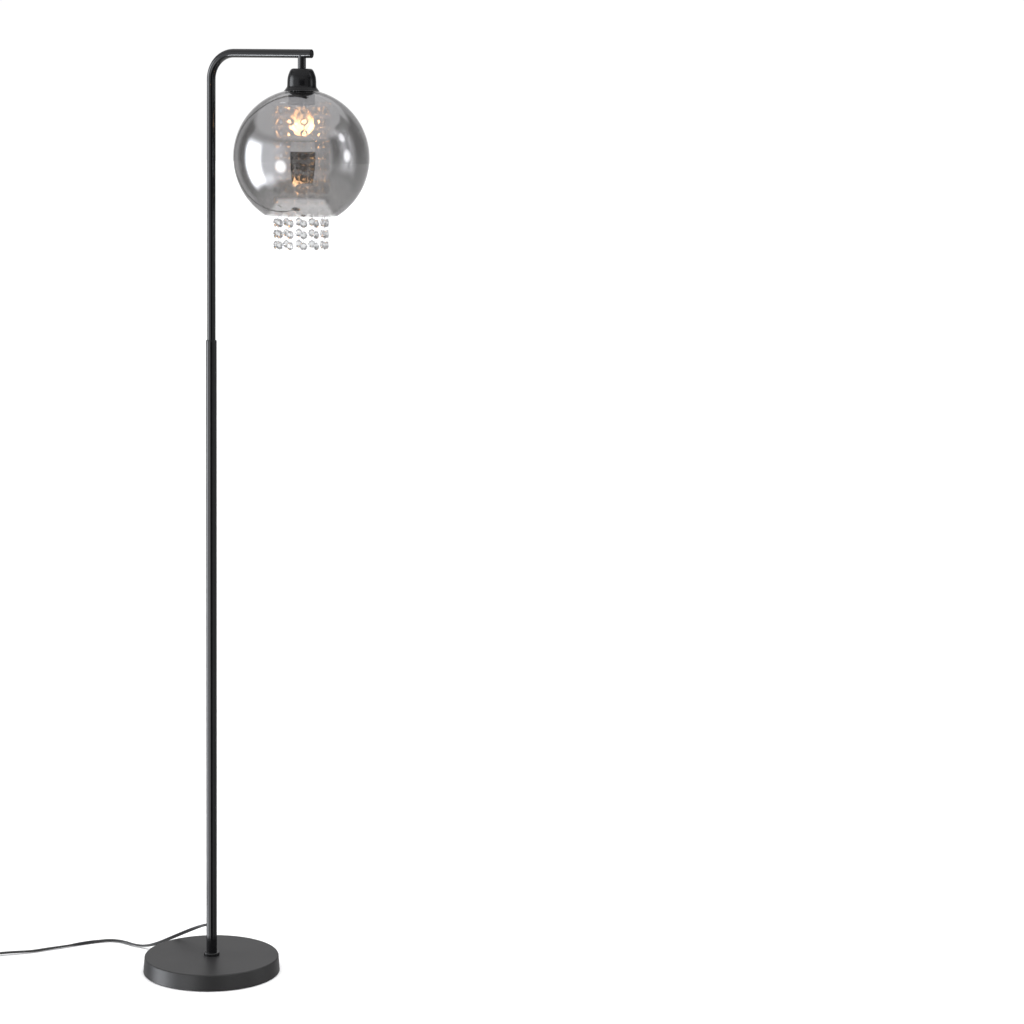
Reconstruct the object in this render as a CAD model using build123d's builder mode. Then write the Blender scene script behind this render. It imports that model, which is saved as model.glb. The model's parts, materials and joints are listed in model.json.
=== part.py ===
from build123d import *
import math
import os

os.makedirs("parts", exist_ok=True)

# Globe floor lamp. Millimetres, +Z up. The pole stands on the Z axis, the arm
# points along +X, and the origin is the middle of the rest face on the floor.

# ---------------------------------------------------------------- dimensions
LAMP_HEIGHT = 1650.0        # floor to the top of the arm
REACH = 178.0               # pole axis to stem axis
UPPER_D = 15.0              # bent upper tube
LOWER_D = 19.0              # straight lower tube
TUBE_WALL = 1.2
BEND_R = 44.5               # centreline radius of the bend
ARM_TIP = 197.0             # pole axis to the outer face of the end cap
ARM_Z = LAMP_HEIGHT - UPPER_D / 2
JOINT_Z = 1146.0            # visible step between the two tube sizes

BASE_H = 30.0
BASE_R_FOOT = 123.0
BASE_R_TOP = 120.8
COVER_WALL = 1.5
PAD_T = 3.0

CUP_TOP_Z = 1617.5
CUP_H = 38.0
CUP_RIM_Z = CUP_TOP_Z - CUP_H
STEM_D = 14.0

GLOBE_R = 116.2
GLASS_WALL = 1.8
GLOBE_Z = CUP_RIM_Z - 112.8
NECK_R = 20.3
MOUTH_R = 62.0

DISC_Z = 1560.0             # mid-plane of the crystal disc
DISC_T = 0.8
DISC_R = 45.5
DISC_HOLE_R = 41.8        # circle of the holes for the strands
STRANDS = 12
BEADS = 13
STRAND_R = 44.5             # radius of the strand circle
BEAD_FLAT = 12.8            # octagon across flats, 13.9 across corners
BEAD_T = 6.6
HOLE_OFF = 5.06             # bead centre to cross hole
RING_R = 4.76               # centreline radius of a wire ring
WIRE_R = 0.45
HOLE_RISE = 0.28            # hole axis above the lowest point of the wire
BEAD_PITCH = 2 * HOLE_OFF + 2 * RING_R - 2 * HOLE_RISE
TOP_RING_Z = DISC_Z - 3.68
BEAD_1_Z = TOP_RING_Z - RING_R + HOLE_RISE - HOLE_OFF

BULB_Z = 1525.5             # middle of the round envelope
BULB_R = 22.5

CORD_W = 6.3                # flat two-core lead, width
EXIT_Z = 85.0
EXIT_TILT = 18.0            # the strain relief droops by this angle
EXIT_AZ = 120.5             # its heading, from +X towards +Y
RELIEF_L = 22.0
COIL_R = 35.0               # middle of the turns
COIL_W = 19.6
COIL_Z0, COIL_Z1 = 0.9, 9.1


def save(piece, name):
    piece.part.label = name
    export_step(piece.part, "parts/" + name + ".step")


# ---------------------------------------------------------------- the base
# Pressed steel cover, open underneath, with a rolled top edge.
with BuildPart() as base_cover:
    with BuildSketch(Plane.XZ) as cover_profile:
        with BuildLine():
            Polyline((0, 1.5), (BASE_R_FOOT, 1.5), (BASE_R_TOP, BASE_H), (0, BASE_H), (0, 1.5))
        make_face()
        fillet(cover_profile.vertices().group_by(Axis.X)[-2], 2.6)
    revolve(axis=Axis.Z)
    with BuildSketch(Plane.XZ) as cover_hollow:
        with BuildLine():
            Polyline(
                (0, 0), (BASE_R_FOOT - COVER_WALL, 0), (BASE_R_FOOT - COVER_WALL, 1.5),
                (BASE_R_TOP - COVER_WALL, BASE_H - COVER_WALL), (0, BASE_H - COVER_WALL), (0, 0),
            )
        make_face()
        fillet(cover_hollow.vertices().group_by(Axis.Y)[-1].sort_by(Axis.X)[-1], 1.6)
    revolve(axis=Axis.Z, mode=Mode.SUBTRACT)
    with BuildSketch(Plane.XY.offset(BASE_H)):
        Circle(5.3)
    extrude(amount=-4, mode=Mode.SUBTRACT)
save(base_cover, "base_cover")

# Cast iron weight with a raised boss under the pole and a pocket for the nut.
with BuildPart() as base_weight:
    with BuildSketch(Plane.XY.offset(PAD_T)):
        Circle(118.6)
    extrude(amount=13)
    fillet(base_weight.edges().filter_by(GeomType.CIRCLE).group_by(Axis.Z)[-1], 2)
    with BuildSketch(Plane.XY.offset(PAD_T + 13)):
        Circle(20)
    extrude(amount=BASE_H - COVER_WALL - PAD_T - 13)
    with BuildSketch(Plane.XY.offset(PAD_T)):
        Circle(18)
    extrude(amount=8, mode=Mode.SUBTRACT)
    with BuildSketch(Plane.XY.offset(PAD_T)):
        Circle(5.3)
    extrude(amount=BASE_H, mode=Mode.SUBTRACT)
    with BuildSketch(Plane.XY.offset(PAD_T)):
        with PolarLocations(70, 6):
            Circle(9)
    extrude(amount=6, mode=Mode.SUBTRACT)
save(base_weight, "base_weight")

# Foam pad under the weight: the rest face.
with BuildPart() as base_pad:
    with BuildSketch(Plane.XY):
        Circle(118.0)
    extrude(amount=PAD_T)
    chamfer(base_pad.edges().filter_by(GeomType.CIRCLE).group_by(Axis.Z)[0], 0.5)
save(base_pad, "base_pad")

# Hollow M10 screw through weight and cover into the foot of the pole.
with BuildPart() as base_screw:
    with BuildSketch(Plane.XY.offset(4.6)):
        Circle(4.95)
        Circle(3.5, mode=Mode.SUBTRACT)
    extrude(amount=35.4)
    chamfer(base_screw.edges().filter_by(GeomType.CIRCLE).group_by(Axis.Z)[-1], 0.5)
save(base_screw, "base_screw")

with BuildPart() as base_washer:
    with BuildSketch(Plane.XY.offset(9.4)):
        Circle(16)
        Circle(5.25, mode=Mode.SUBTRACT)
    extrude(amount=1.6)
save(base_washer, "base_washer")

with BuildPart() as base_nut:
    with BuildSketch(Plane.XY.offset(5.0)):
        RegularPolygon(8.5, 6, major_radius=False)
        Circle(5.0, mode=Mode.SUBTRACT)
    extrude(amount=4.4)
    chamfer(base_nut.edges().filter_by(GeomType.CIRCLE).group_by(Axis.Z)[0], 0.4)
save(base_nut, "base_nut")

with BuildPart() as foot_collar:
    with BuildSketch(Plane.XY.offset(BASE_H)):
        Circle(14.3)
        Circle(LOWER_D / 2 + 0.1, mode=Mode.SUBTRACT)
    extrude(amount=5.5)
    fillet(foot_collar.edges().filter_by(GeomType.CIRCLE).group_by(Axis.Z)[-1].sort_by(SortBy.RADIUS)[-1], 1.6)
save(foot_collar, "foot_collar")

# ---------------------------------------------------------------- the pole
# Where the lead leaves the back of the pole, and its direction there.
tilt = math.radians(EXIT_TILT)
heading = math.radians(EXIT_AZ)
across = Vector(math.sin(heading), -math.cos(heading), 0)
exit_dir = Vector(math.cos(heading) * math.cos(tilt), math.sin(heading) * math.cos(tilt), -math.sin(tilt))
exit_at = Vector(math.cos(heading), math.sin(heading), 0) * (LOWER_D / 2) + Vector(0, 0, EXIT_Z)
exit_plane = Plane(origin=exit_at, x_dir=across, z_dir=exit_dir)

with BuildPart() as lower_tube:
    with BuildSketch(Plane.XY.offset(BASE_H)):
        Circle(LOWER_D / 2)
    extrude(amount=JOINT_Z - 5 - BASE_H)
    with BuildSketch(Plane.XY.offset(BASE_H + 12)):
        Circle(LOWER_D / 2 - TUBE_WALL)
    extrude(amount=JOINT_Z, mode=Mode.SUBTRACT)
    with BuildSketch(Plane.XY.offset(BASE_H)):
        Circle(5.05)
    extrude(amount=12, mode=Mode.SUBTRACT)
    with BuildSketch(exit_plane.offset(-6)):
        Circle(4.1)
    extrude(amount=12, mode=Mode.SUBTRACT)
save(lower_tube, "lower_tube")

# Turned reducer pressed into the top of the lower tube: its rounded shoulder
# is the visible step, its ledge carries the upper tube.
with BuildPart() as joint_ferrule:
    with BuildSketch(Plane.XY.offset(JOINT_Z - 5)):
        Circle(LOWER_D / 2)
    extrude(amount=5)
    fillet(joint_ferrule.edges().filter_by(GeomType.CIRCLE).group_by(Axis.Z)[-1], 1.7)
    with BuildSketch(Plane.XY.offset(JOINT_Z - 29)):
        Circle(LOWER_D / 2 - TUBE_WALL - 0.1)
    extrude(amount=24)
    with BuildSketch(Plane.XY.offset(JOINT_Z - 23)):
        Circle(UPPER_D / 2 + 0.08)
    extrude(amount=24, mode=Mode.SUBTRACT)
    with BuildSketch(Plane.XY.offset(JOINT_Z - 30)):
        Circle(UPPER_D / 2 - TUBE_WALL)
    extrude(amount=30, mode=Mode.SUBTRACT)
save(joint_ferrule, "joint_ferrule")

with BuildPart() as upper_tube:
    with BuildLine():
        FilletPolyline(
            (0, 0, JOINT_Z - 23), (0, 0, ARM_Z), (ARM_TIP - 1.5, 0, ARM_Z), radius=BEND_R
        )
    with BuildSketch(Plane.XY.offset(JOINT_Z - 23)):
        Circle(UPPER_D / 2)
        Circle(UPPER_D / 2 - TUBE_WALL, mode=Mode.SUBTRACT)
    sweep()
    with BuildSketch(Plane.XY.offset(ARM_Z - UPPER_D)):
        with Locations((REACH, 0)):
            Circle(5.1)
    extrude(amount=UPPER_D, mode=Mode.SUBTRACT)
save(upper_tube, "upper_tube")

with BuildPart() as arm_end_cap:
    with BuildSketch(Plane.YZ.offset(ARM_TIP - 1.5)):
        with Locations((0, ARM_Z)):
            Circle(UPPER_D / 2)
    extrude(amount=1.5)
    fillet(arm_end_cap.edges().filter_by(GeomType.CIRCLE).group_by(Axis.X)[-1], 0.4)
    with BuildSketch(Plane.YZ.offset(ARM_TIP - 8.5)):
        with Locations((0, ARM_Z)):
            Circle(UPPER_D / 2 - TUBE_WALL - 0.1)
            Circle(4.6, mode=Mode.SUBTRACT)
    extrude(amount=7)
save(arm_end_cap, "arm_end_cap")

# Short drop stem, coped to the underside of the arm.
with BuildPart() as stem_tube:
    with BuildSketch(Plane.XY.offset(CUP_TOP_Z)):
        with Locations((REACH, 0)):
            Circle(STEM_D / 2)
            Circle(5.1, mode=Mode.SUBTRACT)
    extrude(amount=ARM_Z - CUP_TOP_Z)
    with BuildSketch(Plane.YZ.offset(REACH - 20)):
        with Locations((0, ARM_Z)):
            Circle(UPPER_D / 2 + 0.03)
    extrude(amount=40, mode=Mode.SUBTRACT)
save(stem_tube, "stem_tube")

with BuildPart() as stem_nipple:
    with BuildSketch(Plane.XY.offset(CUP_TOP_Z - 15.5)):
        with Locations((REACH, 0)):
            Circle(4.95)
            Circle(3.5, mode=Mode.SUBTRACT)
    extrude(amount=29)
save(stem_nipple, "stem_nipple")

with BuildPart() as stem_nut:
    with BuildSketch(Plane.XY.offset(CUP_TOP_Z - 5.2)):
        with Locations((REACH, 0)):
            RegularPolygon(8, 6, major_radius=False)
            Circle(5.0, mode=Mode.SUBTRACT)
    extrude(amount=4)
save(stem_nut, "stem_nut")

# ---------------------------------------------------------------- the cup
# Bell-shaped spun cup: radius against depth below its flat top.
k = CUP_H / 38.8
cup_shape = [
    (14.0, 0.0), (18.6, 1.9), (21.6, 7.4), (23.6, 13.6), (24.5, 20.0),
    (24.7, 25.0), (24.8, 29.0), (26.2, 33.5), (28.4, 36.6), (30.7, 38.8),
]
cup_outer = [(REACH + r, CUP_TOP_Z - d * k) for r, d in cup_shape]


def inward(points, wall, first=(1, 0), last=(0.76, -0.65)):
    """The same curve moved into the wall by its thickness."""
    moved = []
    for i, (x, z) in enumerate(points):
        if i == 0:
            tx, tz = first
        elif i == len(points) - 1:
            tx, tz = last
        else:
            tx = points[i + 1][0] - points[i - 1][0]
            tz = points[i + 1][1] - points[i - 1][1]
        n = math.hypot(tx, tz)
        moved.append((x + wall * tz / n, z - wall * tx / n))
    return moved


cup_inner = inward(cup_outer, 1.2)
cup_inner[-1] = (cup_outer[-1][0] - 1.5, cup_outer[-1][1])   # the lip ends flat
with BuildPart() as cup:
    with BuildSketch(Plane.XZ):
        with BuildLine():
            Line((REACH, CUP_TOP_Z), cup_outer[0])
            Spline(*cup_outer, tangents=((1, 0), (0.76, -0.65)))
            Line(cup_outer[-1], (REACH, CUP_RIM_Z))
            Line((REACH, CUP_RIM_Z), (REACH, CUP_TOP_Z))
        make_face()
    revolve(axis=Axis((REACH, 0, 0), (0, 0, 1)))
    with BuildSketch(Plane.XZ):
        with BuildLine():
            Line((REACH, CUP_TOP_Z - 1.2), cup_inner[0])
            Spline(*cup_inner, tangents=((1, 0), (0.76, -0.65)))
            Line(cup_inner[-1], (REACH, CUP_RIM_Z))
            Line((REACH, CUP_RIM_Z), (REACH, CUP_TOP_Z - 1.2))
        make_face()
    revolve(axis=Axis((REACH, 0, 0), (0, 0, 1)), mode=Mode.SUBTRACT)
    with BuildSketch(Plane.XY.offset(CUP_TOP_Z - 3)):
        with Locations((REACH, 0)):
            Circle(5.2)
    extrude(amount=6, mode=Mode.SUBTRACT)
save(cup, "cup")

# ---------------------------------------------------------------- lampholder
SKIRT_Z = 1556.0
with BuildPart() as socket_body:
    with BuildSketch(Plane.XZ):
        with BuildLine():
            Polyline(
                (REACH + 5.1, 1612.3), (REACH + 9.0, 1612.3), (REACH + 9.5, 1608.0),
                (REACH + 17.0, 1604.0), (REACH + 18.6, 1600.0), (REACH + 18.6, 1588.0),
                (REACH + 19.7, 1586.0), (REACH + 19.7, SKIRT_Z), (REACH + 15.4, SKIRT_Z),
                (REACH + 15.4, 1584.2), (REACH + 4.0, 1584.2), (REACH + 4.0, 1590.0),
                (REACH + 15.0, 1590.0), (REACH + 15.0, 1601.5), (REACH + 5.1, 1604.6),
                (REACH + 5.1, 1612.3),
            )
        make_face()
    revolve(axis=Axis((REACH, 0, 0), (0, 0, 1)))
    # thread on the skirt, drawn as rings
    for z in (1569.0, 1566.0, 1563.0):
        with BuildSketch(Plane.XY.offset(z)):
            with Locations((REACH, 0)):
                Circle(20)
                Circle(19.35, mode=Mode.SUBTRACT)
        extrude(amount=1.2, mode=Mode.SUBTRACT)
save(socket_body, "socket_body")

with BuildPart() as socket_shell:
    with BuildSketch(Plane.XY.offset(1559.0)):
        with Locations((REACH, 0)):
            Circle(14.6)
            Circle(13.9, mode=Mode.SUBTRACT)
    extrude(amount=24.6)
    with BuildSketch(Plane.XY.offset(1583.6)):
        with Locations((REACH, 0)):
            Circle(14.6)
            Circle(8.5, mode=Mode.SUBTRACT)
    extrude(amount=0.6)
save(socket_shell, "socket_shell")

# Spring tongue that meets the bulb's tip.
with BuildPart() as socket_contact:
    with BuildSketch(Plane.XZ) as tongue:
        with BuildLine():
            Polyline(
                (REACH - 6.5, 1584.2), (REACH - 6.5, 1583.7), (REACH - 3.6, 1583.7),
                (REACH + 2.5, 1580.4), (REACH + 3.8, 1580.4), (REACH + 3.8, 1580.9),
                (REACH + 2.7, 1580.9), (REACH - 3.4, 1584.2), (REACH - 6.5, 1584.2),
            )
        make_face()
    extrude(amount=2, both=True)
save(socket_contact, "socket_contact")

with BuildPart() as shade_ring:
    with BuildSketch(Plane.XY.offset(DISC_Z + DISC_T / 2)):
        with Locations((REACH, 0)):
            Circle(22.5)
            Circle(19.85, mode=Mode.SUBTRACT)
    extrude(amount=14)
    with BuildSketch(Plane.XY.offset(1574.4)):
        with Locations((REACH, 0)):
            Circle(28.6)
            Circle(19.85, mode=Mode.SUBTRACT)
    extrude(amount=3)
    with BuildSketch(Plane.XY.offset(DISC_Z + DISC_T / 2)):
        with Locations((REACH, 0)):
            with PolarLocations(23.0, 16):
                Circle(0.9)
    extrude(amount=14, mode=Mode.SUBTRACT)
save(shade_ring, "shade_ring")

with BuildPart() as disc_ring:
    with BuildSketch(Plane.XY.offset(SKIRT_Z + 0.6)):
        with Locations((REACH, 0)):
            Circle(23.5)
            Circle(19.85, mode=Mode.SUBTRACT)
            with PolarLocations(24.0, 12):
                Circle(1.2, mode=Mode.SUBTRACT)
    extrude(amount=DISC_Z - DISC_T / 2 - SKIRT_Z - 0.6)
save(disc_ring, "disc_ring")

# ---------------------------------------------------------------- the globe
outer_neck = math.sqrt(GLOBE_R**2 - NECK_R**2)
outer_mouth = -math.sqrt(GLOBE_R**2 - MOUTH_R**2)
GLOBE_IN = GLOBE_R - GLASS_WALL
mouth_in_r = MOUTH_R * GLOBE_IN / GLOBE_R
inner_neck = math.sqrt(GLOBE_IN**2 - NECK_R**2)
inner_mouth = outer_mouth * GLOBE_IN / GLOBE_R
with BuildPart() as glass_globe:
    with BuildSketch(Plane.XZ.offset(0)) as glass_profile:
        with BuildLine():
            ThreePointArc(
                (REACH + NECK_R, GLOBE_Z + outer_neck),
                (REACH + GLOBE_R, GLOBE_Z),
                (REACH + MOUTH_R, GLOBE_Z + outer_mouth),
            )
            Line(
                (REACH + MOUTH_R, GLOBE_Z + outer_mouth),
                (REACH + mouth_in_r, GLOBE_Z + inner_mouth),
            )
            ThreePointArc(
                (REACH + mouth_in_r, GLOBE_Z + inner_mouth),
                (REACH + GLOBE_IN, GLOBE_Z),
                (REACH + NECK_R, GLOBE_Z + inner_neck),
            )
            Line(
                (REACH + NECK_R, GLOBE_Z + inner_neck),
                (REACH + NECK_R, GLOBE_Z + outer_neck),
            )
        make_face()
        fillet(glass_profile.vertices().group_by(Axis.Y)[0], 0.6)
    revolve(axis=Axis((REACH, 0, 0), (0, 0, 1)))
save(glass_globe, "glass_globe")

# ---------------------------------------------------------------- crystal curtain
strand_angles = [4.0 + 30.0 * s for s in range(STRANDS)]
with BuildPart() as crystal_disc:
    with BuildSketch(Plane.XY.offset(DISC_Z - DISC_T / 2)):
        with Locations((REACH, 0)):
            Circle(DISC_R)
            Circle(19.9, mode=Mode.SUBTRACT)
            for a in strand_angles:
                with Locations((DISC_HOLE_R * math.cos(math.radians(a)), DISC_HOLE_R * math.sin(math.radians(a)))):
                    Circle(1.7, mode=Mode.SUBTRACT)
    extrude(amount=DISC_T)
save(crystal_disc, "crystal_disc")


def octagon(radius, x, start):
    """Corners of an octagon that faces along X, the first at the start angle."""
    return [
        (x, radius * math.cos(math.radians(start + 45 * i)), radius * math.sin(math.radians(start + 45 * i)))
        for i in range(8)
    ]


def crystal_faces():
    """A cut octagon: table, star facets and kite facets on both sides of a thin girdle."""
    r = BEAD_FLAT / 2 / math.cos(math.radians(22.5))
    made = []
    for side in (1, -1):
        g = octagon(r, side * 0.9, 90)
        t = octagon(3.05, side * BEAD_T / 2, 112.5)
        made.append(Face(Wire.make_polygon(t)))
        for i in range(8):
            made.append(Face(Wire.make_polygon([g[i], g[(i + 1) % 8], t[i]])))
            made.append(Face(Wire.make_polygon([t[i - 1], t[i], g[i]])))
    a, b = octagon(r, 0.9, 90), octagon(r, -0.9, 90)
    for i in range(8):
        made.append(Face(Wire.make_polygon([a[i], a[(i + 1) % 8], b[(i + 1) % 8], b[i]])))
    return made


crystal_blank = Solid(Shell(crystal_faces()))
with BuildPart() as crystal:
    add(crystal_blank)
    with BuildSketch(Plane.YZ.offset(-BEAD_T)):
        with Locations((0, HOLE_OFF), (0, -HOLE_OFF)):
            Circle(0.85)
    extrude(amount=2 * BEAD_T, mode=Mode.SUBTRACT)
print("crystal volume", round(crystal.part.volume, 1), "mm3")

with BuildPart() as wire_ring:
    with BuildSketch(Plane.XY.offset(0)):
        with Locations((RING_R, 0)):
            Circle(WIRE_R)
    revolve(axis=Axis.Y)

for s, a in enumerate(strand_angles):
    x = REACH + STRAND_R * math.cos(math.radians(a))
    y = STRAND_R * math.sin(math.radians(a))
    # each link lets the next crystal turn a little, so a strand drifts as it hangs
    drift = 24 * math.sin(2.4 * s + 1.0)
    sway = 2.2
    bead_at, ring_at = [], []
    for i in range(BEADS):
        turn = a + drift * (i + 1) / BEADS + sway * math.sin(1.7 * i + 3.1 * s)
        link = a + drift * (i + 0.5) / BEADS + sway * math.sin(1.7 * (i - 0.5) + 3.1 * s)
        if i == 0:
            link = a + 0.3 * (turn - a)
        bead_at.append(Location((x, y, BEAD_1_Z - i * BEAD_PITCH), (0, 0, turn)))
        ring_at.append(Location((x, y, TOP_RING_Z - i * BEAD_PITCH), (90, 0, link)))
    with BuildPart() as beads:
        with Locations(*bead_at):
            add(crystal.part)
    save(beads, f"strand_{s + 1:02d}_beads")
    with BuildPart() as rings:
        for i in range(BEADS):
            with Locations(Location((x, y, TOP_RING_Z - i * BEAD_PITCH), (0, 0, ring_at[i].orientation.Z))):
                add(wire_ring.part)
    save(rings, f"strand_{s + 1:02d}_rings")

# ---------------------------------------------------------------- the bulb
glass_shape = [
    (12.2, 1556.6), (12.3, 1553.5), (13.6, 1547.5), (18.0, 1539.6), (21.6, 1532.4), (22.5, 1525.5),
]


def envelope(shrink):
    """Half section of the envelope, from the cap down round the ball to the axis."""
    pts = [(REACH + r - shrink, z) for r, z in glass_shape]
    low = (REACH, BULB_Z - BULB_R + shrink)
    mid = (
        REACH + (BULB_R - shrink) * math.sin(math.radians(45)),
        BULB_Z - (BULB_R - shrink) * math.cos(math.radians(45)),
    )
    return pts, mid, low


out_pts, out_mid, out_low = envelope(0)
in_pts, in_mid, in_low = envelope(0.8)
with BuildPart() as bulb_glass:
    with BuildSketch(Plane.XZ):
        with BuildLine():
            Spline(*out_pts, tangents=((0, -1), (0, -1)))
            ThreePointArc(out_pts[-1], out_mid, out_low)
            Line(out_low, in_low)
            ThreePointArc(in_low, in_mid, in_pts[-1])
            Spline(*reversed(in_pts), tangents=((0, 1), (0, 1)))
            Line(in_pts[0], out_pts[0])
        make_face()
    revolve(axis=Axis((REACH, 0, 0), (0, 0, 1)))
save(bulb_glass, "bulb_glass")

# Screw cap with its rolled thread, a closed shoulder and the insulated tip.
cap_wave = []
z = 1556.0
while z < 1573.0:
    cap_wave += [(13.1, z), (13.3, z + 0.9), (13.1, z + 1.8), (12.7, z + 2.7)]
    z += 3.6
with BuildPart() as bulb_cap:
    with BuildSketch(Plane.XZ):
        with BuildLine():
            outline = (
                [(13.2, 1552.6), (13.2, 1555.0)] + cap_wave
                + [(12.7, 1574.6), (8.0, 1577.6), (4.75, 1578.2), (4.75, 1577.4), (7.6, 1576.8), (12.0, 1574.0)]
                + [(12.45, 1572.0), (12.45, 1552.6)]
            )
            Polyline(*[(REACH + r, zz) for r, zz in outline], (REACH + 13.2, 1552.6))
        make_face()
    revolve(axis=Axis((REACH, 0, 0), (0, 0, 1)))
save(bulb_cap, "bulb_cap")

with BuildPart() as bulb_tip:
    with BuildSketch(Plane.XZ):
        with BuildLine():
            Polyline(
                (REACH, 1576.9), (REACH + 4.4, 1576.9), (REACH + 4.4, 1578.6), (REACH + 3.2, 1579.4),
                (REACH + 1.6, 1580.0), (REACH, 1580.0), (REACH, 1576.9),
            )
        make_face()
    revolve(axis=Axis((REACH, 0, 0), (0, 0, 1)))
save(bulb_tip, "bulb_tip")

# Glass mount with its flare and the tungsten zigzag on its supports.
with BuildPart() as bulb_filament:
    with BuildSketch(Plane.XZ):
        with BuildLine():
            Polyline(
                (REACH, 1554.0), (REACH + 9.5, 1554.0), (REACH + 6.0, 1550.0),
                (REACH + 3.2, 1544.0), (REACH + 2.2, 1534.0), (REACH + 3.0, 1532.5),
                (REACH + 3.0, 1531.0), (REACH, 1530.0), (REACH, 1554.0),
            )
        make_face()
    revolve(axis=Axis((REACH, 0, 0), (0, 0, 1)))
    for side in (1, -1):
        with BuildLine():
            Polyline((REACH + side * 1.6, 0, 1532.0), (REACH + side * 11.0, 0, 1523.4))
        with BuildSketch(Plane(origin=(REACH + side * 1.6, 0, 1532.0), z_dir=(side * 9.4, 0, -8.6))):
            Circle(0.45)
        sweep()
    zig = []
    for i in range(9):
        zig.append((REACH - 11.6 + 2.9 * i, 1.1 if i % 2 else -1.1, 1523.3 - (4.6 if i % 2 else 0.6)))
    for p, q in zip(zig, zig[1:]):
        d = Vector(*q) - Vector(*p)
        with BuildLine():
            Line(p, q)
        with BuildSketch(Plane(origin=p, z_dir=d)):
            Circle(0.4)
        sweep()
    for p in zig:
        with Locations(p):
            Sphere(0.4)
save(bulb_filament, "bulb_filament")

# ---------------------------------------------------------------- the lead
# Tapered strain relief through the back of the pole.
with BuildPart() as cord_relief:
    with BuildSketch(exit_plane.offset(-0.6)):
        Circle(3.95)
    extrude(amount=2.8)
    with BuildSketch(exit_plane.offset(2.2)):
        Circle(5.2)
    extrude(amount=2.2)
    fillet(cord_relief.edges().filter_by(GeomType.CIRCLE).group_by(SortBy.RADIUS)[-1], 0.5)
    with BuildSketch(exit_plane.offset(4.4)):
        Circle(4.6)
    with BuildSketch(exit_plane.offset(RELIEF_L)):
        Circle(3.65)
    loft()
    for t in (7.5, 10.5, 13.5, 16.5):
        with BuildSketch(exit_plane.offset(t)):
            Circle(6)
            Circle(3.45, mode=Mode.SUBTRACT)
        extrude(amount=0.9, mode=Mode.SUBTRACT)
save(cord_relief, "cord_relief")

# Lead inside the lamp: up the pole, round the bend, along the arm, down the stem.
inner_start = exit_at + exit_dir * (-0.6)
rise = math.hypot(inner_start.X, inner_start.Y) * math.tan(tilt)
inner_points = [
    (inner_start.X, inner_start.Y, inner_start.Z),
    (0, 0, inner_start.Z + rise),
    (0, 0, ARM_Z),
    (REACH, 0, ARM_Z),
    (REACH, 0, CUP_TOP_Z - 20),
]
with BuildPart() as inner_cable:
    with BuildLine():
        FilletPolyline(*inner_points, radius=[6.5, BEND_R, 6.0])
    with BuildSketch(Plane(origin=inner_start, x_dir=across, z_dir=-exit_dir)):
        Circle(2.5)
    sweep()
save(inner_cable, "inner_cable")

relief_end = exit_at + exit_dir * RELIEF_L
lead_dir = Vector(-0.72, -0.694, 0).normalized()
side_dir = Vector(lead_dir.Y, -lead_dir.X, 0)
s0 = Vector(-401.5, -113.0, 5.0)        # the lead enters the foot switch
lead_first = relief_end + exit_dir * 29
lead_last = s0 - lead_dir * 41
lead_points = [
    (relief_end.X, relief_end.Y, relief_end.Z),
    (lead_first.X, lead_first.Y, lead_first.Z),
    (-58.0, 66.5, 59.1),
    (-92.0, 63.0, 43.1),
    (-121.0, 56.5, 28.35),
    (-150.0, 54.0, 13.65),
    (-178.0, 58.0, 4.2),
    (-203.0, 59.0, 3.4),
    (-233.3, 68.3, 3.35),
    (-257.3, 63.8, 3.35),
    (-275.7, 44.0, 3.35),
    (-293.1, 19.7, 3.35),
    (-311.9, -8.2, 3.35),
    (-330.2, -33.8, 3.35),
    (-348.0, -61.9, 3.4),
    (lead_last.X, lead_last.Y, lead_last.Z),
    (s0.X, s0.Y, s0.Z),
]
SWITCH_L = 70.0
s1 = s0 + lead_dir * SWITCH_L
t1 = s1 + lead_dir * 42
coil_centre = t1 + side_dir * COIL_R
coil_centre = Vector(coil_centre.X, coil_centre.Y, 0)


def corner_radii(points):
    """Each arc as large as its two runs allow: 0.45 of the shorter over the tangent of half the turn."""
    radii = []
    for p, q, r in zip(points, points[1:], points[2:]):
        a = Vector(*q) - Vector(*p)
        b = Vector(*r) - Vector(*q)
        turn = math.radians(a.get_angle(b))
        radii.append(0.45 * min(a.length, b.length) / math.tan(turn / 2))
    return radii


lead_radii = corner_radii(lead_points)
print("lead radii", [round(r) for r in lead_radii])
print("lead runs", [round((Vector(*q) - Vector(*p)).length, 1) for p, q in zip(lead_points, lead_points[1:])])

with BuildPart() as cord_coil:
    with BuildSketch(Plane.XZ.offset(-coil_centre.Y)):
        with Locations((coil_centre.X + COIL_R, (COIL_Z0 + COIL_Z1) / 2)):
            RectangleRounded(COIL_W, COIL_Z1 - COIL_Z0, 2.6)
    revolve(axis=Axis((coil_centre.X, coil_centre.Y, 0), (0, 0, 1)))
save(cord_coil, "cord_coil")

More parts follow.
